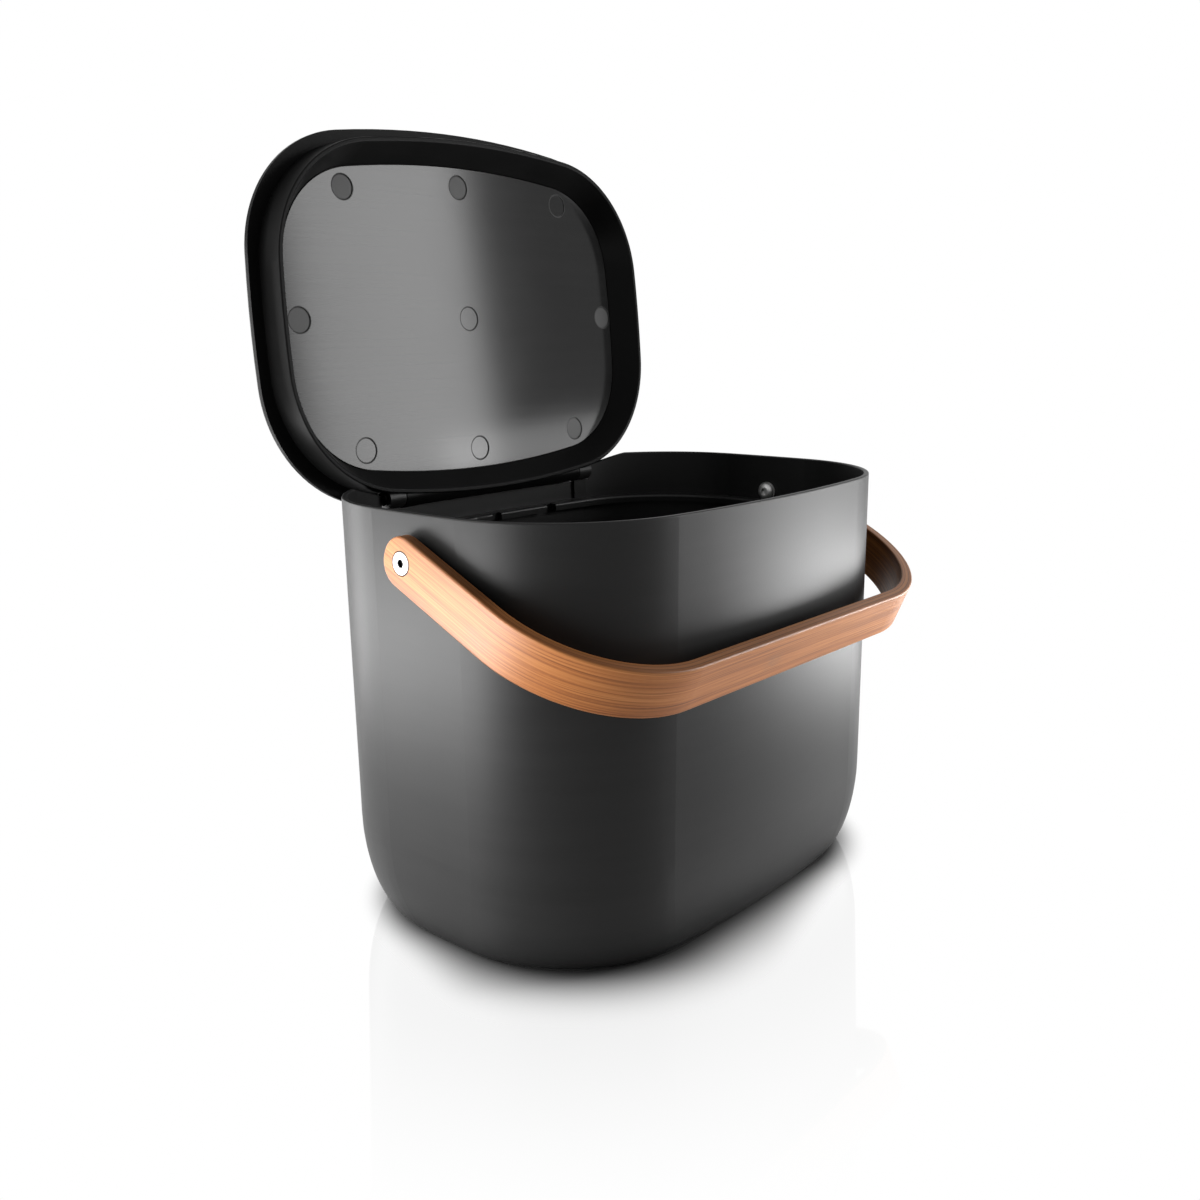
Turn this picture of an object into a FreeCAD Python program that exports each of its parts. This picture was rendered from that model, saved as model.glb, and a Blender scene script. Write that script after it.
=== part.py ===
"""Countertop kitchen bin: a soft-cornered moulded tub, a lid hinged at the back and a bent bamboo handle.

The origin is the centre of the base, +Z is up and the handle hangs at the front, towards -Y.
The lid is drawn shut and then turned open about its hinge; the handle is drawn level and then
hung on its pivots. Lengths are millimetres.
"""
import FreeCAD, Part
import math
import os
import re
import Sketcher
from FreeCAD import Placement, Rotation, Vector

SIZES = {
    # mouth outline: eight tangent arcs, which every level of the tub and the lid follows;
    # an end flat is half of what the corners leave of the depth
    "mouth_width": 200.0,
    "mouth_depth": 146.0,
    "front_radius": 420.0,
    "side_radius": 480.0,
    "end_flat": 20.5,
    # tub
    "bin_height": 146.0,
    "wall": 1.9,
    "floor_thickness": 2.6,
    "draft_slope": 0.0238,
    "foot_round_width": 9.2,
    "foot_round_height": 33.0,
    "foot_corner_gain": 12.3,
    "rim_round": 0.6,
    "shelf_drop": 21.6,
    "shelf_width": 1.5,
    "base_recess_inset": 27.0,
    "base_recess_depth": 1.2,
    # bag ring
    "ring_thickness": 3.0,
    "ring_width": 5.2,
    "ring_clearance": 0.35,
    "ring_round": 0.9,
    "ring_notch_spacing": 31.0,
    "ring_notch_width": 5.0,
    "ring_notch_depth": 2.2,
    "ring_screw_clearance": 0.6,
    # hinge
    "hinge_inset": 5.9,
    "hinge_drop": 6.4,
    "knuckle_radius": 4.0,
    "knuckle_half_length": 48.1,
    "knuckle_gap": 0.5,
    "lug_length": 7.4,
    "lug_leg_inner": 0.4,
    "lug_leg_outer": 1.4,
    "lug_ring_gap": 0.5,
    "hinge_clearance": 0.6,
    "hinge_cut_margin": 0.6,
    "hinge_shoulder_drop": 5.1,
    "hinge_cut_flare": 22.0,
    "hinge_cut_over": 1.0,
    "pin_diameter": 3.0,
    "pin_fit": 0.05,
    "pin_reach": 22.0,
    "pin_head_diameter": 5.2,
    "pin_head_height": 1.1,
    # lid
    "lid_open_angle": 95.0,
    "lid_gap": 0.2,
    "cover_overhang": 0.5,
    "cover_end_flat": 24.0,
    "cover_thickness": 3.0,
    "cover_round": 1.6,
    "collar_clearance": 2.0,
    "collar_draft": 0.4,
    "collar_depth": 11.4,
    "collar_lip": 1.6,
    "collar_round": 0.5,
    "slope_run": 6.7,
    "plate_end_flat": 23.9,
    "plate_thickness": 1.0,
    "plate_gap": 0.4,
    "mark_diameter": 9.5,
    "mark_depth": 0.3,
    "mark_side_margin": 5.4,
    "mark_end_margin": 7.95,
    "mark_corner_margin_across": 29.7,
    "mark_corner_margin_along": 11.7,
    # handle
    "handle_side_gap": 1.0,
    "handle_front_gap": 0.38,
    "handle_width": 16.7,
    "ply_thickness": 1.45,
    "bend_radius": 46.0,
    "handle_round": 0.7,
    "handle_end_flat": 0.6,
    "hang_angle": 24.55,
    "pivot_drop": 15.1,
    "pivot_forward": 1.0,
    # pivot hardware
    "sleeve_diameter": 5.0,
    "sleeve_fit": 0.06,
    "sleeve_head_diameter": 7.6,
    "sleeve_head_height": 1.45,
    "sleeve_head_edge": 0.3,
    "sleeve_head_clearance": 0.25,
    "socket_size": 2.6,
    "socket_depth": 1.3,
    "spacer_diameter": 10.0,
    "spacer_gap": 0.1,
    "wall_seat_gap": 0.05,
    "washer_diameter": 8.0,
    "washer_thickness": 0.8,
    "screw_head_diameter": 7.2,
    "screw_head_height": 2.1,
    "screw_head_edge": 0.2,
    "screw_diameter": 3.0,
    "screw_length": 5.6,
    "screw_fit": 0.05,
}
PLY_NAMES = ("handle_outer_ply", "handle_core_ply", "handle_inner_ply")
PLY_COUNT = len(PLY_NAMES)
FOOT_TURNS = range(0, 91, 15)
NEAR = 0.01

doc = FreeCAD.newDocument("kitchen_bin")
dims = doc.addObject("Spreadsheet::Sheet", "Dims")
for row, (alias, number) in enumerate(SIZES.items(), start=1):
    dims.set("A%d" % row, alias)
    dims.set("B%d" % row, str(number))
    dims.setAlias("B%d" % row, alias)
doc.recompute()


def cell(text):
    """Writes the sheet's name before each alias in a formula."""
    return re.sub("[a-z_]+", lambda word: "Dims." * (word[0] in SIZES) + word[0], text)


def size(text):
    """The number that a formula of aliases comes to."""
    return float(dims.evalExpression(cell(text)))


def plane(body, role):
    return next(item for item in body.Origin.OriginFeatures if item.Role == role)


def new_body(label):
    body = doc.addObject("PartDesign::Body", label)
    body.Label = label
    return body


def new_sketch(body, name, role, offset="0"):
    """A sketch on one of the body's own planes, moved along the plane's normal by a formula."""
    sketch = body.newObject("Sketcher::SketchObject", name)
    sketch.AttachmentSupport = [(plane(body, role), "")]
    sketch.MapMode = "FlatFace"
    sketch.AttachmentOffset = Placement(Vector(0, 0, size(offset)), Rotation())
    sketch.setExpression("AttachmentOffset.Base.z", cell(offset))
    return sketch


def measure(sketch, kind, where, text):
    """A dimension on a sketch, bound to a formula of the sheet."""
    index = sketch.addConstraint(Sketcher.Constraint(kind, *where, size(text)))
    sketch.setExpression("Constraints[%d]" % index, cell(text))


def feature(body, kind, name, **settings):
    """A feature on the body's tip, recomputed so that the next one can read it."""
    made = body.newObject("PartDesign::" + kind, name)
    for key, value in settings.items():
        if isinstance(value, str) and key in ("Length", "Radius"):
            made.setExpression(key, cell(value))
        else:
            setattr(made, key, value)
    doc.recompute()
    return made


def edges_where(shape, test):
    return ["Edge%d" % (i + 1) for i, edge in enumerate(shape.Edges) if test(edge)]


def lies_at_height(edge, height):
    box = edge.BoundBox
    return abs(box.ZMin - height) < NEAR and abs(box.ZMax - height) < NEAR


START, END, CENTRE = range(1, 4)
X_AXIS, Y_AXIS = range(-1, -3, -1)
ORIGIN = X_AXIS


def outline(sketch, inset, corner_text):
    """The mouth outline moved inwards by a formula, with corners of a given radius.

    The long arcs keep their centres and lose radius. A corner of the mouth's own radius less
    the inset keeps its centre too; any other slides along to stay tangent.
    """
    step_in = size(inset)
    across = size("side_radius - mouth_width / 2")
    along = size("front_radius - mouth_depth / 2")
    side = size("side_radius")
    front = size("front_radius")
    corner = size(corner_text) + step_in
    # the corner circle touches the back arc and the right arc from inside
    gap = math.hypot(across, along)
    from_back = front - corner
    from_right = side - corner
    share = (from_back**2 - from_right**2 + gap**2) / (2 * gap)
    rise = math.sqrt(from_back**2 - share**2)
    corner_x = -share * across / gap + rise * along / gap
    corner_y = -along + share * along / gap + rise * across / gap
    steep = math.atan2(corner_y + along, corner_x)
    flat = math.atan2(corner_y, corner_x + across)
    turn = math.pi
    arcs = (
        (-across, 0, side, -flat, flat),
        (corner_x, corner_y, corner, flat, steep),
        (0, -along, front, steep, turn - steep),
        (-corner_x, corner_y, corner, turn - steep, turn - flat),
        (across, 0, side, turn - flat, turn + flat),
        (-corner_x, -corner_y, corner, turn + flat, turn + steep),
        (0, along, front, turn + steep, 2 * turn - steep),
        (corner_x, -corner_y, corner, 2 * turn - steep, 2 * turn - flat),
    )
    first = sketch.GeometryCount
    for x, y, radius, begin, finish in arcs:
        circle = Part.Circle(Vector(x, y, 0), Vector(0, 0, 1), radius - step_in)
        sketch.addGeometry(Part.ArcOfCircle(circle, begin, finish), False)
    right, back, left, front_arc = first, first + 2, first + 4, first + 6
    corners = (first + 1, first + 3, first + 5, first + 7)
    for i in range(8):
        following = first + (i + 1) % 8
        sketch.addConstraint(Sketcher.Constraint("Tangent", first + i, END, following, START))
    for arc in (right, left):
        sketch.addConstraint(Sketcher.Constraint("PointOnObject", arc, CENTRE, X_AXIS))
    for arc in (back, front_arc):
        sketch.addConstraint(Sketcher.Constraint("PointOnObject", arc, CENTRE, Y_AXIS))
    sketch.addConstraint(Sketcher.Constraint("Equal", right, left))
    sketch.addConstraint(Sketcher.Constraint("Equal", back, front_arc))
    for arc in corners[1:]:
        sketch.addConstraint(Sketcher.Constraint("Equal", corners[0], arc))
    measure(sketch, "DistanceX", (right, CENTRE, ORIGIN, START), "side_radius - mouth_width / 2")
    measure(sketch, "DistanceX", (ORIGIN, START, left, CENTRE), "side_radius - mouth_width / 2")
    measure(sketch, "DistanceY", (back, CENTRE, ORIGIN, START), "front_radius - mouth_depth / 2")
    measure(sketch, "DistanceY", (ORIGIN, START, front_arc, CENTRE), "front_radius - mouth_depth / 2")
    measure(sketch, "Radius", (right,), "side_radius - (%s)" % inset)
    measure(sketch, "Radius", (back,), "front_radius - (%s)" % inset)
    measure(sketch, "Radius", (corners[0],), corner_text)


def level(body, name, height, inset, corner=None):
    """The outline at a height, stepped in by an inset; all are formulas."""
    sketch = new_sketch(body, name, "XY_Plane", height)
    outline(sketch, inset, corner or "%s - (%s)" % (CORNER, inset))
    return sketch


def circle_sketch(body, name, role, offset, x, y, radius):
    """One circle whose centre and radius are formulas."""
    sketch = new_sketch(body, name, role, offset)
    centre = Vector(size(x), size(y), 0)
    ring = sketch.addGeometry(Part.Circle(centre, Vector(0, 0, 1), size(radius)), False)
    place_point(sketch, ring, CENTRE, x, y)
    measure(sketch, "Radius", (ring,), radius)
    return sketch


def place_point(sketch, shape, point, x, y):
    """Holds a point at formulas for its two coordinates, whichever side of the axes it lies."""
    for kind, axis, text in (("DistanceX", Y_AXIS, x), ("DistanceY", X_AXIS, y)):
        amount = size(text)
        if abs(amount) < 1e-9:
            sketch.addConstraint(Sketcher.Constraint("PointOnObject", shape, point, axis))
        elif amount > 0:
            measure(sketch, kind, (ORIGIN, START, shape, point), text)
        else:
            measure(sketch, kind, (shape, point, ORIGIN, START), "-1 * (%s)" % text)


def polygon(sketch, points):
    """Straight lines through corners given as pairs of formulas."""
    corners = [Vector(size(x), size(y), 0) for x, y in points]
    count = len(corners)
    first = sketch.GeometryCount
    for i in range(count):
        sketch.addGeometry(Part.LineSegment(corners[i], corners[(i + 1) % count]), False)
    for i in range(count):
        following = first + (i + 1) % count
        sketch.addConstraint(Sketcher.Constraint("Coincident", first + i, END, following, START))
    for i, (x, y) in enumerate(points):
        place_point(sketch, first + i, START, x, y)


def mirrored(body, name, originals):
    """Copies features across the body's middle plane."""
    copy = feature(body, "Mirrored", name, Originals=originals, MirrorPlane=(plane(body, "YZ_Plane"), [""]))
    body.Tip = copy
    doc.recompute()
    return copy


# Shared places, as formulas
CORNER = "mouth_depth / 2 - end_flat"
COVER_CORNER = "mouth_depth / 2 - cover_end_flat"
HINGE_Y = "mouth_depth / 2 - hinge_inset"
HINGE_Z = "bin_height - hinge_drop"
PIVOT_Y = "-1 * pivot_forward"
PIVOT_Z = "bin_height - pivot_drop"
SHELF_Z = "bin_height - shelf_drop"
LID_Z = "bin_height + lid_gap"
LIP_Z = "bin_height + lid_gap - collar_depth"
LUG_START = "knuckle_half_length + knuckle_gap"
LUG_END = "knuckle_half_length + knuckle_gap + lug_length"
CUT_FLOOR = "bin_height - hinge_drop - knuckle_radius - hinge_clearance"
CUT_HALF = LUG_END + " + pin_head_height + hinge_cut_margin"
LUG_LEG_DROP = "shelf_drop - hinge_drop - ring_thickness - lug_ring_gap"
COLLAR_INSET = "wall + collar_clearance"
LIP_INSET = COLLAR_INSET + " + collar_draft + collar_lip"
PLATE_INSET = LIP_INSET + " + slope_run"
PLATE_CORNER = "mouth_depth / 2 - (%s) - plate_end_flat" % PLATE_INSET
WALL_X = "mouth_width / 2 - draft_slope * pivot_drop"
SPACER_SEAT = WALL_X + " + draft_slope * spacer_diameter / 2 + wall_seat_gap"
WASHER_OUT = WALL_X + " - wall - draft_slope * washer_diameter / 2 - wall_seat_gap"
WASHER_IN = WASHER_OUT + " - washer_thickness"
HANDLE_IN = "mouth_width / 2 + handle_side_gap"
HANDLE_OUT = HANDLE_IN + " + %d * ply_thickness" % PLY_COUNT
SLEEVE_BORE = "sleeve_diameter / 2 + sleeve_fit"
HEAD_BORE = "sleeve_head_diameter / 2 + sleeve_head_clearance"
# the crossbar's lower inner edge stops short of the drafted front wall
CROSSBAR_IN = (
    "(mouth_depth / 2 - pivot_forward + handle_front_gap + handle_width / 2 * sin(hang_angle)"
    " - draft_slope * (pivot_drop + handle_width / 2 * cos(hang_angle)))"
    " / (cos(hang_angle) + draft_slope * sin(hang_angle))"
)
CROSSBAR_OUT = CROSSBAR_IN + " + %d * ply_thickness" % PLY_COUNT


def draft_to(height):
    """How far the drafted wall has stepped in at a height."""
    return "draft_slope * (bin_height - (%s))" % height


def tub_wall(body, kind, name, top, extra, floor):
    """Lofts a tub's straight drafted wall and the quarter ellipse that turns it into the floor."""
    foot = []
    for turn in FOOT_TURNS:
        height = "%s + (foot_round_height - %s) * (1 - sin(%d))" % (floor, floor, turn)
        inset = "%s + %s + foot_round_width * (1 - cos(%d))" % (draft_to(height), extra, turn)
        corner = "%s - (%s) + foot_corner_gain * (1 - cos(%d))" % (CORNER, inset, turn)
        foot.append(level(body, "%s_foot_%d" % (name, turn), height, inset, corner))
    upper = level(body, name + "_top", top, draft_to(top) + " + " + extra)
    feature(body, kind, name + "_wall", Profile=upper, Sections=foot[:1], Ruled=True)
    feature(body, kind, name + "_foot", Profile=foot[0], Sections=foot[1:], Ruled=False)


def make_bin_body():
    body = new_body("bin_body")
    tub_wall(body, "AdditiveLoft", "outer", "bin_height", "0", "0")
    tub_wall(body, "SubtractiveLoft", "inner", SHELF_Z, "wall + shelf_width", "floor_thickness")
    mouth_top = level(body, "mouth_top", "bin_height", "wall")
    mouth_low = level(body, "mouth_low", SHELF_Z, draft_to(SHELF_Z) + " + wall")
    mouth = feature(body, "SubtractiveLoft", "mouth", Profile=mouth_top, Sections=[mouth_low], Ruled=True)
    rim = edges_where(mouth.Shape, lambda edge: lies_at_height(edge, size("bin_height")))
    feature(body, "Fillet", "rim_edge", Base=(mouth, rim), Radius="rim_round")

    recess = level(body, "base_recess", "0", "base_recess_inset")
    feature(body, "Pocket", "base", Profile=recess, Length="base_recess_depth", Reversed=True)

    # the back wall dips: deep for the lid's knuckle, then sloping up to the rim where the collar turns
    dip = new_sketch(body, "hinge_dip", "XZ_Plane")
    above = "bin_height + hinge_cut_over"
    shoulder = "bin_height - hinge_shoulder_drop"
    near, far = CUT_HALF, CUT_HALF + " + hinge_cut_flare"
    left_near, left_far = "-1 * (%s)" % near, "-1 * (%s)" % far
    polygon(dip, ((left_far, above), (left_near, shoulder), (left_near, CUT_FLOOR),
                  (near, CUT_FLOOR), (near, shoulder), (far, above)))
    feature(body, "Pocket", "back_dip", Profile=dip, Type="ThroughAll")

    lug = new_sketch(body, "lug", "YZ_Plane", LUG_START)
    draw_lug(lug)
    pad = feature(body, "Pad", "right_lug", Profile=lug, Length="lug_length")
    mirrored(body, "left_lug", [pad])
    bore = circle_sketch(body, "pin_bore", "YZ_Plane", "0", HINGE_Y, HINGE_Z, "pin_diameter / 2 + pin_fit")
    feature(body, "Pocket", "pin_bores", Profile=bore, Midplane=True,
            Length="2 * (%s + knuckle_gap)" % LUG_END)
    pivot = circle_sketch(body, "pivot_bore", "YZ_Plane", "0", PIVOT_Y, PIVOT_Z, SLEEVE_BORE)
    feature(body, "Pocket", "pivot_bores", Profile=pivot, Type="ThroughAll", Midplane=True)
    return body


def draw_lug(sketch):
    """A round ear about the hinge axis on a straight leg that runs down into the back wall."""
    radius = size("knuckle_radius")
    y, z = size(HINGE_Y), size(HINGE_Z)
    inner, outer = size("lug_leg_inner"), size("lug_leg_outer")
    foot = z - size(LUG_LEG_DROP)
    inner_meet = z - math.sqrt(radius**2 - inner**2)
    outer_meet = z - math.sqrt(radius**2 - outer**2)
    begin = math.atan2(outer_meet - z, outer)
    finish = math.atan2(inner_meet - z, -inner) + 2 * math.pi
    ear = sketch.addGeometry(
        Part.ArcOfCircle(Part.Circle(Vector(y, z, 0), Vector(0, 0, 1), radius), begin, finish), False)
    inside = sketch.addGeometry(
        Part.LineSegment(Vector(y - inner, inner_meet, 0), Vector(y - inner, foot, 0)), False)
    under = sketch.addGeometry(
        Part.LineSegment(Vector(y - inner, foot, 0), Vector(y + outer, foot, 0)), False)
    outside = sketch.addGeometry(
        Part.LineSegment(Vector(y + outer, foot, 0), Vector(y + outer, outer_meet, 0)), False)
    chain = (ear, inside, under, outside)
    for i, piece in enumerate(chain):
        following = chain[(i + 1) % len(chain)]
        sketch.addConstraint(Sketcher.Constraint("Coincident", piece, END, following, START))
    sketch.addConstraint(Sketcher.Constraint("Vertical", inside))
    sketch.addConstraint(Sketcher.Constraint("Horizontal", under))
    sketch.addConstraint(Sketcher.Constraint("Vertical", outside))
    place_point(sketch, ear, CENTRE, HINGE_Y, HINGE_Z)
    measure(sketch, "Radius", (ear,), "knuckle_radius")
    measure(sketch, "DistanceX", (inside, END, ear, CENTRE), "lug_leg_inner")
    measure(sketch, "DistanceX", (ear, CENTRE, under, END), "lug_leg_outer")
    measure(sketch, "DistanceY", (inside, END, ear, CENTRE), LUG_LEG_DROP)


def make_bag_ring():
    """A flat ring on the shelf inside the mouth, whose inner edge a bag is folded over."""
    body = new_body("bag_ring")
    seat = draft_to(SHELF_Z) + " + wall + ring_clearance"
    outer = level(body, "ring_outer", SHELF_Z, seat)
    ring = feature(body, "Pad", "ring_blank", Profile=outer, Length="ring_thickness")
    inner = level(body, "ring_inner", SHELF_Z, seat + " + ring_width")
    ring = feature(body, "Pocket", "ring_opening", Profile=inner, Type="ThroughAll", Reversed=True)
    top = size(SHELF_Z) + size("ring_thickness")
    reach = size("mouth_width / 2") - size(seat) - size("ring_width") / 2
    deep = size("mouth_depth / 2") - size(seat) - size("ring_width") / 2

    def on_inner_top(edge):
        box = edge.BoundBox
        near = max(abs(box.XMin), abs(box.XMax)) < reach and max(abs(box.YMin), abs(box.YMax)) < deep
        return lies_at_height(edge, top) and near

    inner_edges = edges_where(ring.Shape, on_inner_top)
    feature(body, "Fillet", "ring_edge", Base=(ring, inner_edges), Radius="ring_round")
    notches = new_sketch(body, "notches", "XY_Plane", SHELF_Z)
    back = "mouth_depth / 2 - (%s + ring_width)" % seat
    low = back + " - ring_width"
    high = back + " + ring_notch_depth"
    for middle in ("0", "ring_notch_spacing", "-1 * ring_notch_spacing"):
        left = middle + " - ring_notch_width / 2"
        right = middle + " + ring_notch_width / 2"
        polygon(notches, ((left, low), (right, low), (right, high), (left, high)))
    feature(body, "Pocket", "back_notches", Profile=notches, Type="ThroughAll", Reversed=True)
    dent = circle_sketch(body, "screw_room", "YZ_Plane", "0", PIVOT_Y, PIVOT_Z,
                         "washer_diameter / 2 + ring_screw_clearance")
    feature(body, "Pocket", "screw_dents", Profile=dent, Type="ThroughAll", Midplane=True)
    return body


def lid_placement():
    """Turns the shut lid back about its hinge."""
    axis_point = Vector(0, size(HINGE_Y), size(HINGE_Z))
    return Placement(Vector(), Rotation(Vector(1, 0, 0), -size("lid_open_angle")), axis_point)


def make_lid_cover():
    body = new_body("lid_cover")
    disc = level(body, "cover_outline", LID_Z, "-1 * cover_overhang", COVER_CORNER)
    pad = feature(body, "Pad", "cover", Profile=disc, Length="cover_thickness")
    top = size(LID_Z) + size("cover_thickness")
    edges = edges_where(pad.Shape, lambda edge: lies_at_height(edge, top))
    feature(body, "Fillet", "cover_edge", Base=(pad, edges), Radius="cover_round")
    return body


def make_lid_collar():
    """The skirt under the cover: an upright outer wall, a narrow lip and a sloped inner wall."""
    body = new_body("lid_collar")
    top = level(body, "collar_top", LID_Z, COLLAR_INSET)
    lip = level(body, "collar_lip", LIP_Z, COLLAR_INSET + " + collar_draft")
    feature(body, "AdditiveLoft", "collar", Profile=top, Sections=[lip], Ruled=True)
    barrel = circle_sketch(body, "knuckle", "YZ_Plane", "0", HINGE_Y, HINGE_Z, "knuckle_radius")
    feature(body, "Pad", "hinge_knuckle", Profile=barrel, Midplane=True, Length="2 * knuckle_half_length")
    seat = level(body, "plate_seat", LID_Z, PLATE_INSET, PLATE_CORNER)
    feature(body, "Pocket", "plate_opening", Profile=seat, Length="plate_thickness")
    slope_top = level(body, "slope_top", LID_Z + " - plate_thickness", PLATE_INSET, PLATE_CORNER)
    slope_low = level(body, "slope_low", LIP_Z, LIP_INSET)
    slope = feature(body, "SubtractiveLoft", "slope", Profile=slope_top, Sections=[slope_low], Ruled=True)
    edges = edges_where(slope.Shape, lambda edge: lies_at_height(edge, size(LIP_Z)))
    feature(body, "Fillet", "lip_edge", Base=(slope, edges), Radius="collar_round")
    room = circle_sketch(body, "lug_room", "YZ_Plane", "knuckle_half_length", HINGE_Y, HINGE_Z,
                         "knuckle_radius + hinge_clearance")
    cut = feature(body, "Pocket", "right_lug_room", Profile=room, Reversed=True,
                  Length="lug_length + pin_head_height + 3 * knuckle_gap")
    mirrored(body, "left_lug_room", [cut])
    bore = circle_sketch(body, "knuckle_bore", "YZ_Plane", "0", HINGE_Y, HINGE_Z,
                         "pin_diameter / 2 + pin_fit")
    feature(body, "Pocket", "knuckle_bores", Profile=bore, Midplane=True,
            Length="2 * (knuckle_half_length + knuckle_gap)")
    return body


def make_lid_plate():
    """The inner plate, with nine shallow round marks on its face."""
    body = new_body("lid_plate")
    face = level(body, "plate_outline", LID_Z, PLATE_INSET + " + plate_gap",
                 PLATE_CORNER + " - plate_gap")
    feature(body, "Pad", "plate", Profile=face, Length="plate_thickness", Reversed=True)
    marks = new_sketch(body, "marks", "XY_Plane", LID_Z + " - plate_thickness")
    side = "mouth_width / 2 - (%s) - " % PLATE_INSET
    end = "mouth_depth / 2 - (%s) - " % PLATE_INSET
    corner = (side + "mark_corner_margin_across", end + "mark_corner_margin_along")
    places = [("0", "0")]
    for sign in ("1", "-1"):
        places.append(("%s * (%s)" % (sign, side + "mark_side_margin"), "0"))
        places.append(("0", "%s * (%s)" % (sign, end + "mark_end_margin")))
        for other in ("1", "-1"):
            places.append(("%s * (%s)" % (sign, corner[0]), "%s * (%s)" % (other, corner[1])))
    for across, along in places:
        centre = Vector(size(across), size(along), 0)
        mark = marks.addGeometry(Part.Circle(centre, Vector(0, 0, 1), size("mark_diameter / 2")), False)
        place_point(marks, mark, CENTRE, across, along)
        measure(marks, "Radius", (mark,), "mark_diameter / 2")
    feature(body, "Pocket", "round_marks", Profile=marks, Length="mark_depth", Reversed=True)
    return body


def make_hinge_pin(label):
    """A headed pin through one lug into the lid's knuckle, drawn for the right side along +X."""
    body = new_body(label)
    profile = new_sketch(body, "pin_profile", "XY_Plane")
    tip = LUG_END + " - pin_reach"
    face = LUG_END + " + knuckle_gap / 2"
    crown = face + " + pin_head_height"
    shank, head = "pin_diameter / 2", "pin_head_diameter / 2"
    polygon(profile, ((tip, "0"), (crown, "0"), (crown, head), (face, head), (face, shank), (tip, shank)))
    pin = feature(body, "Revolution", "pin", Profile=profile, ReferenceAxis=(plane(body, "X_Axis"), [""]))
    crown_edge = edges_where(pin.Shape, lambda edge: abs(edge.BoundBox.XMin - size(crown)) < NEAR)
    feature(body, "Fillet", "pin_crown", Base=(pin, crown_edge), Radius="pin_head_height / 2")
    return body


def make_ply(index):
    """One ply of the bent strip, drawn level with its pivot axis along X and its arms towards -Y."""
    body = new_body(PLY_NAMES[index])
    sketch = new_sketch(body, "strip", "XY_Plane")
    draw_strip(sketch, index)
    strip = feature(body, "Pad", "ply", Profile=sketch, Midplane=True, Length="handle_width")
    end = size("handle_width / 2")

    def on_end_corner(edge):
        box = edge.BoundBox
        return box.YMin > end - NEAR and box.XLength > NEAR and box.ZLength < NEAR

    corners = edges_where(strip.Shape, on_end_corner)
    tip = feature(body, "Fillet", "round_ends", Base=(strip, corners),
                  Radius="(handle_width - handle_end_flat) / 2")
    if index == 0:
        soften_ply(body, tip, 0)
    elif index == PLY_COUNT - 1:
        soften_ply(body, tip, PLY_COUNT)
    # the outer ply's hole takes the sleeve's head, so that the head lies flush
    hole = circle_sketch(body, "pivot_hole", "YZ_Plane", "0", "0", "0", SLEEVE_BORE if index else HEAD_BORE)
    feature(body, "Pocket", "pivot_holes", Profile=hole, Type="ThroughAll", Midplane=True)
    return body


def strip_line(layer):
    """Half width, reach and bend radius of the face that lies under a number of plies."""
    half = HANDLE_OUT + " - %d * ply_thickness" % layer
    reach = CROSSBAR_OUT + " - %d * ply_thickness" % layer
    return half, reach, "bend_radius - %d * ply_thickness" % layer


def soften_ply(body, tip, layer):
    """Rounds the long edges of a ply's free face."""
    half, reach, bend = (size(text) for text in strip_line(layer))
    top = size("handle_width / 2")

    def on_free_face(edge):
        point = edge.valueAt((edge.FirstParameter + edge.LastParameter) / 2)
        across, along = abs(point.x), -point.y
        if abs(abs(point.z) - top) > NEAR:
            return False
        if across > half - bend and along > reach - bend:
            return abs(math.hypot(across - half + bend, along - reach + bend) - bend) < NEAR
        return abs(across - half) < NEAR or abs(along - reach) < NEAR

    edges = edges_where(tip.Shape, on_free_face)
    feature(body, "Fillet", "soft_edges", Base=(tip, edges), Radius="handle_round")


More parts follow.
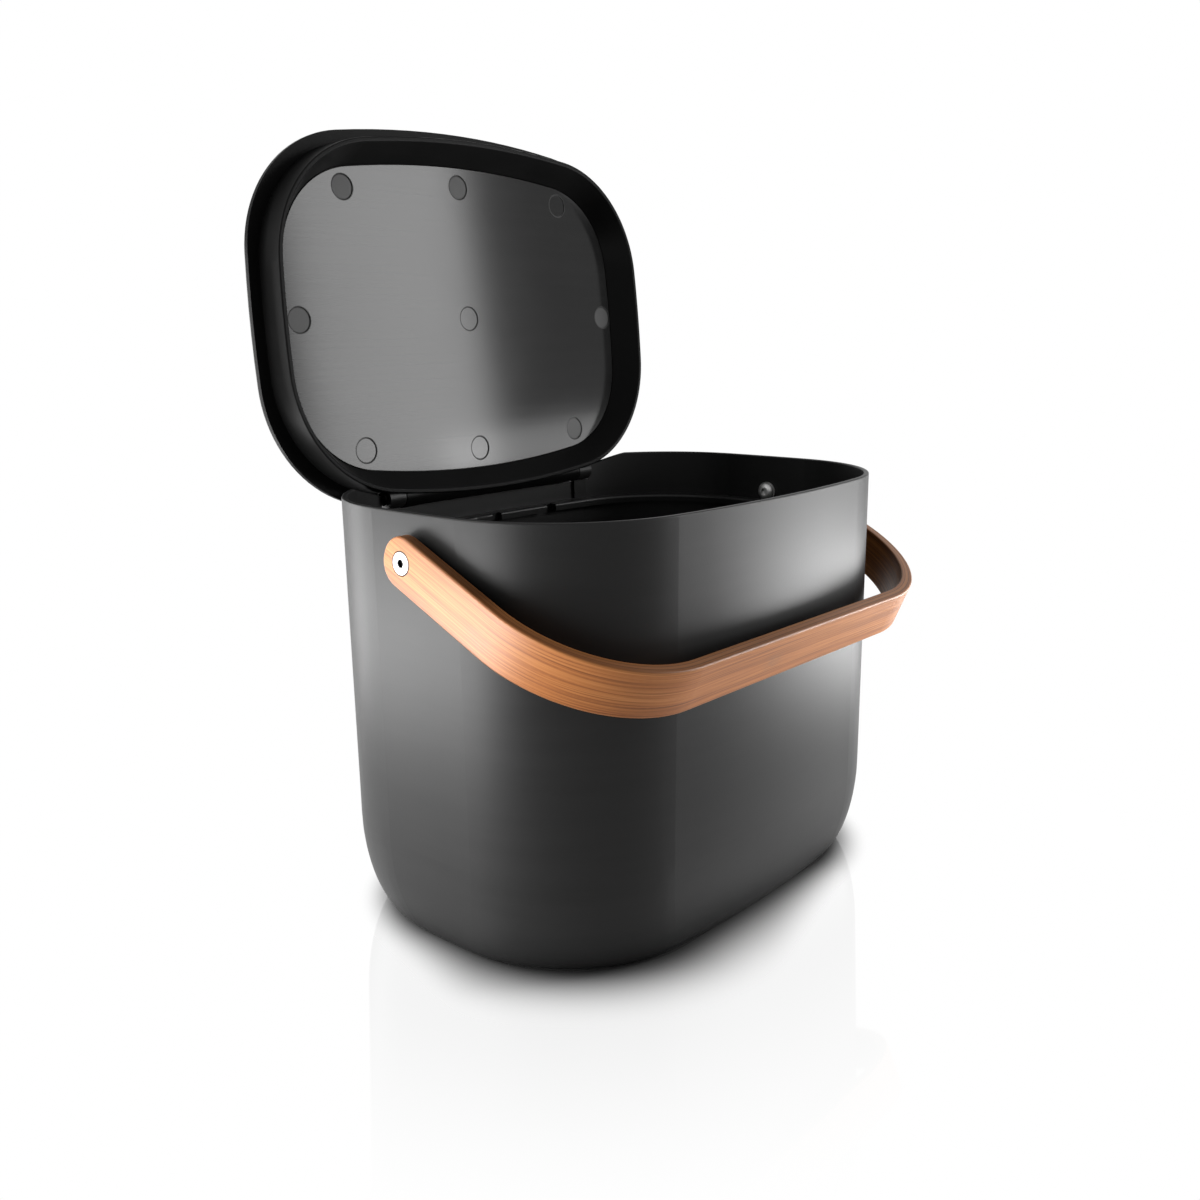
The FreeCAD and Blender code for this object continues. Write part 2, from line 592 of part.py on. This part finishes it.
def draw_strip(sketch, index):
    """A U of constant thickness: two straight arms, two bends and the crossbar."""
    chains = [strip_line(layer) for layer in (index, index + 1)]
    end = "handle_width / 2"
    sides = []
    for half, reach, bend in chains:
        x, y, r, e = size(half), size(reach), size(bend), size(end)
        left = sketch.addGeometry(Part.LineSegment(Vector(-x, e, 0), Vector(-x, r - y, 0)), False)
        left_bend = sketch.addGeometry(Part.ArcOfCircle(
            Part.Circle(Vector(r - x, r - y, 0), Vector(0, 0, 1), r), math.pi, 1.5 * math.pi), False)
        bar = sketch.addGeometry(Part.LineSegment(Vector(r - x, -y, 0), Vector(x - r, -y, 0)), False)
        right_bend = sketch.addGeometry(Part.ArcOfCircle(
            Part.Circle(Vector(x - r, r - y, 0), Vector(0, 0, 1), r), 1.5 * math.pi, 2 * math.pi), False)
        right = sketch.addGeometry(Part.LineSegment(Vector(x, r - y, 0), Vector(x, e, 0)), False)
        run = (left, left_bend, bar, right_bend, right)
        for this, following in zip(run, run[1:]):
            sketch.addConstraint(Sketcher.Constraint("Tangent", this, END, following, START))
        sketch.addConstraint(Sketcher.Constraint("Vertical", left))
        sketch.addConstraint(Sketcher.Constraint("Horizontal", bar))
        sketch.addConstraint(Sketcher.Constraint("Vertical", right))
        sketch.addConstraint(Sketcher.Constraint("Equal", left_bend, right_bend))
        measure(sketch, "Radius", (left_bend,), bend)
        place_point(sketch, left, START, "-1 * (%s)" % half, end)
        place_point(sketch, right, END, half, end)
        measure(sketch, "DistanceY", (bar, START, ORIGIN, START), reach)
        sides.append((left, right))
    (outer_left, outer_right), (inner_left, inner_right) = sides
    e = size(end)
    outer_x, inner_x = size(chains[0][0]), size(chains[1][0])
    left_end = sketch.addGeometry(Part.LineSegment(Vector(-outer_x, e, 0), Vector(-inner_x, e, 0)), False)
    right_end = sketch.addGeometry(Part.LineSegment(Vector(outer_x, e, 0), Vector(inner_x, e, 0)), False)
    sketch.addConstraint(Sketcher.Constraint("Coincident", left_end, START, outer_left, START))
    sketch.addConstraint(Sketcher.Constraint("Coincident", left_end, END, inner_left, START))
    sketch.addConstraint(Sketcher.Constraint("Coincident", right_end, START, outer_right, END))
    sketch.addConstraint(Sketcher.Constraint("Coincident", right_end, END, inner_right, END))


def revolved(label, points, name):
    """A turned piece about the X axis from corners given as pairs of formulas."""
    body = new_body(label)
    profile = new_sketch(body, name + "_profile", "XY_Plane")
    polygon(profile, points)
    feature(body, "Revolution", name, Profile=profile, ReferenceAxis=(plane(body, "X_Axis"), [""]))
    return body


def hex_socket(body, face, inward):
    """A hexagonal recess from a face at x; inward is -1 when it runs towards -X."""
    sketch = new_sketch(body, "socket", "YZ_Plane", face)
    corner = "socket_size / 2 / cos(30)"
    flat = "socket_size / 2"
    half = "socket_size / 2 * tan(30)"
    polygon(sketch, ((corner, "0"), (half, flat), ("-1 * " + half, flat), ("-1 * " + corner, "0"),
                     ("-1 * " + half, "-1 * " + flat), (half, "-1 * " + flat)))
    feature(body, "Pocket", "hex_socket", Profile=sketch, Length="socket_depth", Reversed=inward > 0)


def make_sleeve(label):
    """The pivot sleeve: a flat head let into the handle's outer ply and a bored barrel through the wall."""
    head_face = HANDLE_OUT + " - ply_thickness + spacer_gap"
    crown = head_face + " + sleeve_head_height"
    tail = WALL_X + " - wall"
    bottom = WASHER_IN + " + screw_length + spacer_gap"
    bore = "screw_diameter / 2 + screw_fit"
    body = revolved(label, (
        (tail, bore), (bottom, bore), (bottom, "0"), (crown, "0"), (crown, "sleeve_head_diameter / 2"),
        (head_face, "sleeve_head_diameter / 2"), (head_face, "sleeve_diameter / 2"),
        (tail, "sleeve_diameter / 2")), "sleeve")
    turned = body.Tip
    rim = edges_where(turned.Shape, lambda edge: abs(edge.BoundBox.XMin - size(crown)) < NEAR)
    feature(body, "Fillet", "head_edge", Base=(turned, rim), Radius="sleeve_head_edge")
    hex_socket(body, crown, -1)
    return body


def make_spacer(label):
    """The plain washer that keeps the handle off the wall."""
    far = HANDLE_IN + " - spacer_gap"
    edge = "spacer_diameter / 2"
    corners = ((SPACER_SEAT, SLEEVE_BORE), (far, SLEEVE_BORE), (far, edge), (SPACER_SEAT, edge))
    return revolved(label, corners, "spacer")


def make_washer(label):
    """The washer under the screw head, inside the wall."""
    bore, edge = "screw_diameter / 2 + screw_fit", "washer_diameter / 2"
    corners = ((WASHER_IN, bore), (WASHER_OUT, bore), (WASHER_OUT, edge), (WASHER_IN, edge))
    return revolved(label, corners, "washer")


def make_screw(label):
    """The button-head screw inside the bin, whose shank runs out into the sleeve."""
    crown = WASHER_IN + " - screw_head_height"
    tip = WASHER_IN + " + screw_length"
    head, shank = "screw_head_diameter / 2", "screw_diameter / 2"
    body = revolved(label, ((crown, "0"), (tip, "0"), (tip, shank), (WASHER_IN, shank), (WASHER_IN, head),
                            (crown, head)), "screw")
    turned = body.Tip
    rim = edges_where(turned.Shape, lambda edge: abs(edge.BoundBox.XMax - size(crown)) < NEAR)
    feature(body, "Fillet", "button", Base=(turned, rim), Radius="screw_head_height - screw_head_edge")
    hex_socket(body, crown, 1)
    return body


def place_on_side(body, side, y, z):
    """Puts a piece drawn for the right side on its axis, turned round for the left side."""
    half_turn = 0 if side == "right" else 180
    body.Placement = Placement(Vector(0, size(y), size(z)), Rotation(Vector(0, 0, 1), half_turn))


def make_all():
    pieces = [make_bin_body(), make_bag_ring()]
    for make in (make_lid_cover, make_lid_collar, make_lid_plate):
        piece = make()
        piece.Placement = lid_placement()
        pieces.append(piece)
    for index in range(PLY_COUNT):
        ply = make_ply(index)
        tilt = Rotation(Vector(1, 0, 0), size("hang_angle"))
        ply.Placement = Placement(Vector(0, size(PIVOT_Y), size(PIVOT_Z)), tilt)
        pieces.append(ply)
    for side in ("left", "right"):
        pin = make_hinge_pin("hinge_pin_" + side)
        place_on_side(pin, side, HINGE_Y, HINGE_Z)
        pieces.append(pin)
        for name, make in (("pivot_sleeve_", make_sleeve), ("pivot_spacer_", make_spacer),
                           ("pivot_washer_", make_washer), ("pivot_screw_", make_screw)):
            piece = make(name + side)
            place_on_side(piece, side, PIVOT_Y, PIVOT_Z)
            pieces.append(piece)
    doc.recompute()
    return pieces


def check(pieces):
    for item in doc.Objects:
        bad = [state for state in item.State if state in ("Invalid", "Error")]
        if bad:
            raise RuntimeError("%s is %s" % (item.Label, bad))
    for piece in pieces:
        shape = piece.Shape
        if shape.isNull() or not shape.isValid() or len(shape.Solids) != 1:
            raise RuntimeError("%s has no single valid solid" % piece.Label)


made = make_all()
check(made)
os.makedirs("parts", exist_ok=True)
for piece in made:
    piece.Shape.exportStep("parts/%s.step" % piece.Label)
    print("%-18s %10.1f mm3" % (piece.Label, piece.Shape.Volume))
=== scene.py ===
"""Countertop kitchen bin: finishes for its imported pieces, the camera and the studio round it."""
import math

import bpy
from mathutils import Matrix, Vector


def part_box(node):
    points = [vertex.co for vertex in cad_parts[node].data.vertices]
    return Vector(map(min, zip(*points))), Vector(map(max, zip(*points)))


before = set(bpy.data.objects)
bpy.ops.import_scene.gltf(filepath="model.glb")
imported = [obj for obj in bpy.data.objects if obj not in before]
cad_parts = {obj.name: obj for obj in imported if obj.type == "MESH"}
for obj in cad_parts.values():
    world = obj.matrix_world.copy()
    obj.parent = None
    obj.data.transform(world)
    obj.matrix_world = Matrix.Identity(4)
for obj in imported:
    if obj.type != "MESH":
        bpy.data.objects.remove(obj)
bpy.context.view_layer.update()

MM = 0.001

# Handle: a flat strip bent to a U, seen along, across and into the strip.
PIVOT = Vector((0, -1, 130.9)) * MM
HANG_ANGLE = math.radians(24.55)
BEND_RADIUS = 46 * MM
HANDLE_REACH = 86.25 * MM
PLY = 1.45 * MM
STRIP_WIDTH = 16.7 * MM
HANDLE_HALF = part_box("handle_outer_ply")[1].x
ARM_KNOT = (-134 * MM, -2.8 * MM)
BAR_KNOT = (-17 * MM, -1 * MM)

# Pivots: the visible head's rim and socket, from the pivot's axis, and how deep the head sits.
HEAD_RIM = 3.7 * MM
SOCKET_REACH = 1.7 * MM
HEAD_DEPTH = 3 * MM

# Lid: it stands open on its hinge, and its inner face is read as if it lay shut.
HINGE = Vector((0, 67.1, 139.6)) * MM
LID_OPEN = math.radians(95)
MARK_RADIUS = 4.75 * MM
MARK_SIDE = 82 * MM
MARK_END = 52.45 * MM
MARK_CORNER = (57.7 * MM, 48.7 * MM)
OUT_OF_REACH = 1.0

# Foot: half sizes and corner radius of the ring that stands on the floor.
FOOT_HALF = Vector((87.3, 60.3)) * MM
FOOT_CORNER = 48 * MM

# Floor: its shadow, partly painted in its colour and partly the lamps' own, lies towards the bin's
# front left corner, and is narrower across that way.
ACROSS_SHADOW = Vector((0.65, -0.76))
DARK_REACH = 30 * MM
CLEAR_REACH = 36 * MM
MIRROR_REACH = 120 * MM
MIRROR_SHARE = 0.14
FLOOR_HALF = 4.0

ROOM_LIGHT = 0.07


class Value:
    """The value of a socket. Arithmetic on it adds Math nodes to its finish."""

    def __init__(self, finish, socket):
        self.finish = finish
        self.socket = socket

    def __getitem__(self, output):
        return Value(self.finish, self.socket.node.outputs[output])

    def math(self, operation, *values):
        return self.finish.node("ShaderNodeMath", {"operation": operation}, dict(enumerate(values)))

    def __add__(self, other):
        return self.math("ADD", self, other)

    def __radd__(self, other):
        return self.math("ADD", other, self)

    def __sub__(self, other):
        return self.math("SUBTRACT", self, other)

    def __rsub__(self, other):
        return self.math("SUBTRACT", other, self)

    def __mul__(self, other):
        return self.math("MULTIPLY", self, other)

    def __rmul__(self, other):
        return self.math("MULTIPLY", other, self)

    def __abs__(self):
        return self.math("ABSOLUTE", self)

    def __lt__(self, other):
        return self.math("LESS_THAN", self, other)

    def __gt__(self, other):
        return self.math("GREATER_THAN", self, other)

    def most(self, other):
        return self.math("MAXIMUM", self, other)

    def least(self, other):
        return self.math("MINIMUM", self, other)

    def angle(self, other):
        return self.math("ARCTAN2", self, other)

    def root(self):
        return self.math("SQRT", self)

    def rise(self, low, high):
        """0 below low, 1 above high, smooth between."""
        return self.finish.node(
            "ShaderNodeMapRange",
            {"interpolation_type": "SMOOTHSTEP"},
            {"Value": self, "From Min": low, "From Max": high},
        )


class Finish:
    """A node tree that is written as expressions."""

    def __init__(self, tree):
        tree.nodes.clear()
        self.tree = tree

    def node(self, kind, settings=None, sockets=None, output=0):
        made = self.tree.nodes.new(kind)
        for name, value in (settings or {}).items():
            if name == "stops":
                lay_stops(made.color_ramp, value)
            else:
                setattr(made, name, value)
        for name, value in (sockets or {}).items():
            if isinstance(value, Value):
                self.tree.links.new(value.socket, made.inputs[name])
            else:
                made.inputs[name].default_value = value
        return Value(self, made.outputs[output] if made.outputs else None)

    def place(self):
        """Where a point of the piece is at rest, in metres."""
        spot = self.node("ShaderNodeTexCoord", output="Object")
        return self.node("ShaderNodeSeparateXYZ", sockets={0: spot})

    def point(self, x, y, z):
        return self.node("ShaderNodeCombineXYZ", sockets={0: x, 1: y, 2: z})

    def noise(self, point, detail=2.0, roughness=0.5):
        sockets = {"Vector": point, "Scale": 1.0, "Detail": detail, "Roughness": roughness}
        return self.node("ShaderNodeTexNoise", sockets=sockets)

    def ramp(self, value, *stops):
        return self.node("ShaderNodeValToRGB", {"stops": stops}, {0: value})

    def speckle(self, spot, scale, detail=2.0, roughness=0.5):
        """Noise that is as fine one way as another."""
        point = self.point(spot["X"] * scale, spot["Y"] * scale, spot["Z"] * scale)
        return self.noise(point, detail, roughness)

    def mix(self, share, first, second):
        sockets = {0: share, 6: first, 7: second}
        return self.node("ShaderNodeMix", {"data_type": "RGBA"}, sockets, 2)

    def bump(self, height, depth, strength=1.0):
        sockets = {"Height": height, "Distance": depth, "Strength": strength}
        return self.node("ShaderNodeBump", sockets=sockets)

    def surface(self, **sockets):
        """The finish's one surface; sockets are named as on the shader, with _ for a space."""
        named = {name.replace("_", " "): value for name, value in sockets.items()}
        shader = self.node("ShaderNodeBsdfPrincipled", sockets=named)
        self.node("ShaderNodeOutputMaterial", sockets={"Surface": shader})


def lay_stops(ramp, stops):
    """Sets a ramp's stops, each a place from 0 to 1 and a colour."""
    while len(ramp.elements) < len(stops):
        ramp.elements.new(1.0)
    for element, (place, colour) in zip(ramp.elements, stops):
        element.position = place
        element.color = colour


def paint(red, green, blue):
    return (red, green, blue, 1.0)


def grey(level):
    return paint(level, level, level)


def new_finish(name):
    material = bpy.data.materials.new(name)
    material.use_nodes = True
    return material, Finish(material.node_tree)


def dress(node, material):
    """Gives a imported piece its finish."""
    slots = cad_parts[node].data.materials
    slots.clear()
    slots.append(material)


# Finishes


def tub_finish():
    """Matte moulded plastic with a fine even grain and faint flow marks round the wall."""
    material, finish = new_finish("tub_matte_black")
    spot = finish.place()
    grain = finish.speckle(spot, 1600, 2.0, 0.6)
    flow = finish.noise(finish.point(spot["X"] * 14, spot["Y"] * 14, spot["Z"] * 160), 3.0, 0.55)
    colour = finish.ramp(flow, (0.30, grey(0.0074)), (0.70, grey(0.0092)))
    finish.surface(
        Base_Color=colour,
        Roughness=0.40 + flow * 0.012 + grain * 0.04,
        Specular_IOR_Level=0.18,
        Normal=finish.bump(grain, 0.00004, 0.4),
    )
    return material


def ring_finish():
    """Darker, finer plastic of the ring that holds the bag."""
    material, finish = new_finish("ring_satin_black")
    grain = finish.speckle(finish.place(), 1400)
    colour = finish.ramp(grain, (0.30, grey(0.004)), (0.70, grey(0.007)))
    finish.surface(
        Base_Color=colour,
        Roughness=0.34 + grain * 0.08,
        Specular_IOR_Level=0.2,
        Normal=finish.bump(grain, 0.00003, 0.4),
    )
    return material


def lid_finish():
    """Deep black, slightly waxy plastic of the lid's cover and collar."""
    material, finish = new_finish("lid_deep_black")
    spot = finish.place()
    grain = finish.speckle(spot, 1300)
    cloud = finish.speckle(spot, 30, 3.0)
    colour = finish.ramp(cloud, (0.35, grey(0.0025)), (0.65, grey(0.0040)))
    finish.surface(
        Base_Color=colour,
        Roughness=0.34 + cloud * 0.06 + grain * 0.04,
        Specular_IOR_Level=0.05,
        Normal=finish.bump(grain, 0.00002, 0.35),
    )
    return material


def plate_finish():
    """Satin plate drawn lengthwise, with nine round marks from the mould's pins, five of them rough."""
    material, finish = new_finish("plate_drawn_satin")
    spot = finish.place()
    x = spot["X"]
    back = spot["Y"] - HINGE.y
    up = spot["Z"] - HINGE.z
    y = back * math.cos(LID_OPEN) - up * math.sin(LID_OPEN) + HINGE.y
    drawn = finish.noise(finish.point(x * 9, y * 900, 0.0), 4.0, 0.65)
    cloud = finish.noise(finish.point(x * 40, y * 40, 0.0), 2.0)
    middle = mark_reach(x, y, 0, 0)
    sides = mark_reach(abs(x), y, MARK_SIDE, 0)
    ends = mark_reach(x, abs(y), 0, MARK_END)
    corners = mark_reach(abs(x), abs(y), *MARK_CORNER)
    nearest = middle.least(sides).least(ends).least(corners)
    edge = 1 - abs(nearest - MARK_RADIUS).rise(0.15 * MM, 0.45 * MM)
    corner_pair = corners + (x * y < 0) * OUT_OF_REACH
    worn = sides.least(mark_reach(x, y, 0, -MARK_END)).least(corner_pair)
    pitted = finish.noise(finish.point(x * 1500, y * 1500, 0.0), 2.0, 0.6)
    pin = (worn < MARK_RADIUS) * (0.75 + pitted * 0.5)
    colour = finish.ramp(drawn, (0.30, grey(0.0040)), (0.70, grey(0.0065)))
    colour = finish.mix(pin, colour, grey(0.024))
    colour = finish.mix(edge * 0.85, colour, grey(0.0010))
    finish.surface(
        Base_Color=colour,
        Roughness=0.09 + drawn * 0.05 + cloud * 0.03 + pin * 0.24 + edge * 0.30,
        Specular_IOR_Level=0.17,
        Normal=finish.bump(drawn * 0.5 + pitted * pin, 0.00002, 0.3),
    )
    return material


def mark_reach(x, y, mark_x, mark_y):
    """How far a point of the plate lies from the middle of one round mark."""
    return ((x - mark_x) * (x - mark_x) + (y - mark_y) * (y - mark_y)).root()


def bamboo_finish(name, pale, mid, dark, seed):
    """Bent laminated bamboo: long fibre lines follow the strip's bends; its cut edges are darker."""
    material, finish = new_finish(name)
    along, across, inward = strip_place(finish)
    fibre = finish.noise(finish.point(along * 14 + seed, across * 1700, inward * 1700), 3.0, 0.65)
    streak = finish.noise(finish.point(along * 4 + seed, across * 260, inward * 260), 2.0, 0.5)
    pore = finish.noise(finish.point(along * 34 - seed, across * 3000, inward * 3000), 1.0)
    tone = fibre * 0.62 + streak * 0.38
    colour = finish.ramp(tone, (0.36, dark), (0.49, mid), (0.60, pale))
    colour = finish.mix(pore.rise(0.58, 0.70) * 0.55, colour, dark)
    knot = cane_knot(along, across, *ARM_KNOT).most(cane_knot(along, across, *BAR_KNOT))
    patchy = finish.noise(finish.point(along * 260, across * 900, 0.0), 2.0).rise(0.25, 0.70)
    knot = knot * patchy
    colour = finish.mix(knot * 0.45, colour, paint(0.20, 0.105, 0.055))
    edge = abs(across).rise(STRIP_WIDTH / 2 - 0.8 * MM, STRIP_WIDTH / 2 - 0.2 * MM)
    colour = finish.mix(edge * 0.55, colour, paint(0.16, 0.062, 0.018))
    seam = 1 - abs(inward - PLY).least(abs(inward - 2 * PLY)).rise(0.02 * MM, 0.20 * MM)
    colour = finish.mix(seam * 0.8, colour, paint(0.030, 0.011, 0.004))
    finish.surface(
        Base_Color=colour,
        Roughness=0.34 + fibre * 0.14,
        Specular_IOR_Level=0.28,
        Normal=finish.bump(fibre + pore * 0.4, 0.00006, 0.5),
    )
    return material


def cane_knot(along, across, knot_along, knot_across):
    """1 at the middle of a faint smudge where the cane had a joint, falling to 0 about 5 mm away."""
    run = (along - knot_along) * 0.6
    reach = (run * run + (across - knot_across) * (across - knot_across)).root()
    return 1 - reach.rise(1 * MM, 4.5 * MM)


def strip_place(finish):
    """Lengths along, across and into the bent strip, from its middle and its outer face."""
    spot = finish.place()
    side = abs(spot["X"])
    back = spot["Y"] - PIVOT.y
    up = spot["Z"] - PIVOT.z
    reach = back * -math.cos(HANG_ANGLE) + up * -math.sin(HANG_ANGLE)
    across = up * math.cos(HANG_ANGLE) - back * math.sin(HANG_ANGLE)
    bend_side = HANDLE_HALF - BEND_RADIUS
    bend_reach = HANDLE_REACH - BEND_RADIUS
    past_side = (side - bend_side).most(0.0)
    past_reach = (reach - bend_reach).most(0.0)
    turn = past_side.angle(past_reach)
    along = side.least(bend_side) + turn * BEND_RADIUS + (bend_reach - reach.least(bend_reach))
    inward = BEND_RADIUS - (past_side * past_side + past_reach * past_reach).root()
    return along * spot["X"].math("SIGN", spot["X"]), across, inward


def spacer_finish():
    """Plain black washers of nylon between handle and wall."""
    material, finish = new_finish("spacer_nylon_black")
    grain = finish.speckle(finish.place(), 900)
    colour = finish.ramp(grain, (0.30, grey(0.008)), (0.70, grey(0.014)))
    finish.surface(
        Base_Color=colour,
        Roughness=0.42 + grain * 0.10,
        Specular_IOR_Level=0.2,
        Normal=finish.bump(grain, 0.00003, 0.4),
    )
    return material


def hinge_pin_finish():
    """Blackened steel of the pins inside the lid's hinge."""
    material, finish = new_finish("hinge_pin_blackened")
    spot = finish.place()
    oil = finish.noise(finish.point(spot["X"] * 220, spot["Y"] * 900, spot["Z"] * 900), 3.0)
    colour = finish.ramp(oil, (0.30, grey(0.002)), (0.70, grey(0.006)))
    finish.surface(
        Base_Color=colour,
        Metallic=1.0,
        Roughness=0.32 + oil * 0.14,
        Normal=finish.bump(oil, 0.00001, 0.3),
    )
    return material


def steel_finish():
    """Turned stainless steel: fine rings round the pivot's axis, with painted shade in the socket and a
    painted shadow line round the head's rim.
    """
    material, finish = new_finish("steel_turned")
    spot = finish.place()
    back = spot["Y"] - PIVOT.y
    up = spot["Z"] - PIVOT.z
    reach = (back * back + up * up).root()
    rings = finish.noise(finish.point(reach * 7000, spot["X"] * 400, 0.0), 2.0)
    cloud = finish.speckle(spot, 300)
    colour = finish.ramp(cloud, (0.30, grey(0.36)), (0.70, paint(0.46, 0.457, 0.450)))
    depth = HANDLE_HALF - abs(spot["X"])
    sunk_shade = depth.rise(0.1 * MM, 0.4 * MM) * (depth < HEAD_DEPTH)
    # Painted shade: the inside of the head's socket is darkened.
    colour = finish.mix((reach < SOCKET_REACH) * sunk_shade, colour, grey(0.03))
    # Painted shadow: a dark line round the head's rim, where it sits sunk in the wood.
    rim_shadow = 1 - abs(reach - HEAD_RIM).rise(0.0, 0.3 * MM)
    colour = finish.mix(rim_shadow * 0.7, colour, grey(0.12))
    finish.surface(
        Base_Color=colour,
        Metallic=1.0,
        Roughness=0.36 + rings * 0.10 + cloud * 0.06,
        Normal=finish.bump(rings, 0.00001, 0.3),
    )
    return material


# Studio


def seen_plainly(finish):
    """1 for what is seen straight, in a mirror or through glass; 0 for light that falls on things."""
    path = finish.node("ShaderNodeLightPath")
    return path["Is Camera Ray"].most(path["Is Glossy Ray"]).most(path["Is Transmission Ray"])


def floor_finish():
    """White floor with a faint polish, with a painted shadow in its colour round the foot where the bin
    stands on it.
    """
    material, finish = new_finish("floor_white")
    spot = finish.place()
    side = (abs(spot["X"]) - FOOT_HALF.x + FOOT_CORNER).most(0.0)
    end = (abs(spot["Y"]) - FOOT_HALF.y + FOOT_CORNER).most(0.0)
    gap = (side * side + end * end).root() - FOOT_CORNER
    across = abs(spot["X"] * ACROSS_SHADOW.x + spot["Y"] * ACROSS_SHADOW.y)
    shadow = gap * (1.0 + across.rise(45 * MM, 105 * MM) * 1.4)
    white_share = seen_plainly(finish) * shadow.rise(2 * MM, CLEAR_REACH)
    polish = MIRROR_SHARE - gap.rise(0.0, MIRROR_REACH) * MIRROR_SHARE
    dark, half_dark, pale = (0.0, grey(0.05)), (0.45, grey(0.40)), (1.0, grey(0.86))
    # Painted shadow: the floor's own colour darkens towards the foot, on top of the lamps' shadow
    # there.
    shade = finish.ramp(shadow * (1 / DARK_REACH), dark, half_dark, pale)
    sockets = {"Base Color": shade, "Roughness": 1.0, "Specular IOR Level": 0.0}
    matte = finish.node("ShaderNodeBsdfPrincipled", sockets=sockets)
    white = finish.node("ShaderNodeEmission", sockets={"Color": grey(1.0), "Strength": 1.0})
    gloss = finish.node("ShaderNodeBsdfGlossy", sockets={"Color": grey(1.0), "Roughness": 0.04})
    plain = finish.node("ShaderNodeMixShader", sockets={0: white_share, 1: matte, 2: white})
    shown = finish.node("ShaderNodeMixShader", sockets={0: polish, 1: plain, 2: gloss})
    finish.node("ShaderNodeOutputMaterial", sockets={"Surface": shown})
    return material


def lay_floor():
    mesh = bpy.data.meshes.new("floor")
    low, high = -FLOOR_HALF, FLOOR_HALF
    corners = [(low, low, 0), (high, low, 0), (high, high, 0), (low, high, 0)]
    mesh.from_pydata(corners, [], [(0, 1, 2, 3)])
    floor = bpy.data.objects.new("floor", mesh)
    bpy.context.scene.collection.objects.link(floor)
    floor.location.z = -0.2 * MM
    mesh.materials.append(floor_finish())


def light_room():
    """White behind the bin; a dim even room for the light that falls on it."""
    world = bpy.data.worlds.new("room")
    world.use_nodes = True
    bpy.context.scene.world = world
    finish = Finish(world.node_tree)
    white = finish.node("ShaderNodeBackground", sockets={"Color": grey(1.0), "Strength": 1.0})
    dim = finish.node("ShaderNodeBackground", sockets={"Color": grey(1.0), "Strength": ROOM_LIGHT})
    shown = finish.node("ShaderNodeMixShader", sockets={0: seen_plainly(finish), 1: dim, 2: white})
    finish.node("ShaderNodeOutputWorld", sockets={"Surface": shown})


def softbox(name, place, aim, width, height, power):
    lamp = bpy.data.lights.new(name, "AREA")
    lamp.shape = "RECTANGLE"
    lamp.size, lamp.size_y = width, height
    lamp.energy = power
    box = bpy.data.objects.new(name, lamp)
    bpy.context.scene.collection.objects.link(box)
    box.location = place
    box.rotation_mode = "QUATERNION"
    box.rotation_quaternion = (Vector(aim) - Vector(place)).to_track_quat("-Z", "Y")
    box.visible_camera = False


def light_bin():
    """A high softbox, one that the lid's plate mirrors, and low strips that the tub's walls mirror."""
    wall, foot, plate = (0, 0, 0.10), (0, 0, 0.07), (0, 0.07, 0.20)
    softbox("softbox_high", (-0.563, 0.325, 0.50), wall, 0.35, 0.35, 2.8)
    softbox("softbox_plate", (0.446, -0.510, 0.30), plate, 0.18, 0.40, 3.4)
    softbox("softbox_left", (-0.197, 0.371, 0.15), wall, 0.18, 0.22, 0.85)
    softbox("strip_left_back", (-0.182, 0.251, 0.04), foot, 0.18, 0.07, 0.34)
    softbox("strip_left", (-0.283, 0.126, 0.04), foot, 0.18, 0.07, 0.95)
    softbox("strip_left_front", (-0.336, 0.015, 0.07), wall, 0.12, 0.13, 0.42)
    softbox("softbox_right", (0.360, -0.235, 0.10), wall, 0.17, 0.16, 0.62)
    softbox("strip_right_front", (0.245, -0.173, 0.04), foot, 0.15, 0.07, 0.46)
    softbox("strip_right", (0.270, -0.125, 0.04), foot, 0.15, 0.07, 0.07)


def set_camera():
    eye = Vector((-344.98, -292.78, 203.34)) * MM
    aim = Vector((-9.983, 0, 144.041)) * MM
    roll = 0.013
    lens_axis = (aim - eye).normalized()
    right = lens_axis.cross(Vector((0, 0, 1))).normalized()
    down = lens_axis.cross(right)
    tilted_right = right * math.cos(roll) + down * math.sin(roll)
    tilted_down = down * math.cos(roll) - right * math.sin(roll)
    turn = Matrix((tilted_right, -tilted_down, -lens_axis)).transposed()
    data = bpy.data.cameras.new("camera")
    data.sensor_width = 36.0
    data.lens = 36.945
    data.shift_x = -0.0009
    data.shift_y = -0.0936
    data.clip_start = 0.01
    camera = bpy.data.objects.new("camera", data)
    camera.matrix_world = Matrix.Translation(eye) @ turn.to_4x4()
    bpy.context.scene.collection.objects.link(camera)
    bpy.context.scene.camera = camera


# Bamboo: pale, middle and dark fibre of the two face plies and of the core.
face_tones = paint(0.44, 0.175, 0.051), paint(0.34, 0.119, 0.029), paint(0.155, 0.046, 0.010)
core_tones = paint(0.46, 0.20, 0.078), paint(0.36, 0.145, 0.052), paint(0.20, 0.075, 0.026)
bamboo_face = bamboo_finish("bamboo_face", *face_tones, 0.0)
bamboo_core = bamboo_finish("bamboo_core", *core_tones, 3.7)
tub_black, ring_black, lid_black = tub_finish(), ring_finish(), lid_finish()
plate_satin, spacer_black, steel = plate_finish(), spacer_finish(), steel_finish()
pin_black = hinge_pin_finish()

dress("bin_body", tub_black)
dress("bag_ring", ring_black)
dress("lid_cover", lid_black)
dress("lid_collar", lid_black)
dress("lid_plate", plate_satin)
dress("handle_outer_ply", bamboo_face)
dress("handle_core_ply", bamboo_core)
dress("handle_inner_ply", bamboo_face)
for hand in ("left", "right"):
    dress("pivot_spacer_" + hand, spacer_black)
    dress("hinge_pin_" + hand, pin_black)
    for fastener in ("pivot_sleeve_", "pivot_washer_", "pivot_screw_"):
        dress(fastener + hand, steel)

lay_floor()
light_room()
light_bin()
set_camera()

view = bpy.context.scene.view_settings
view.view_transform = "Standard"
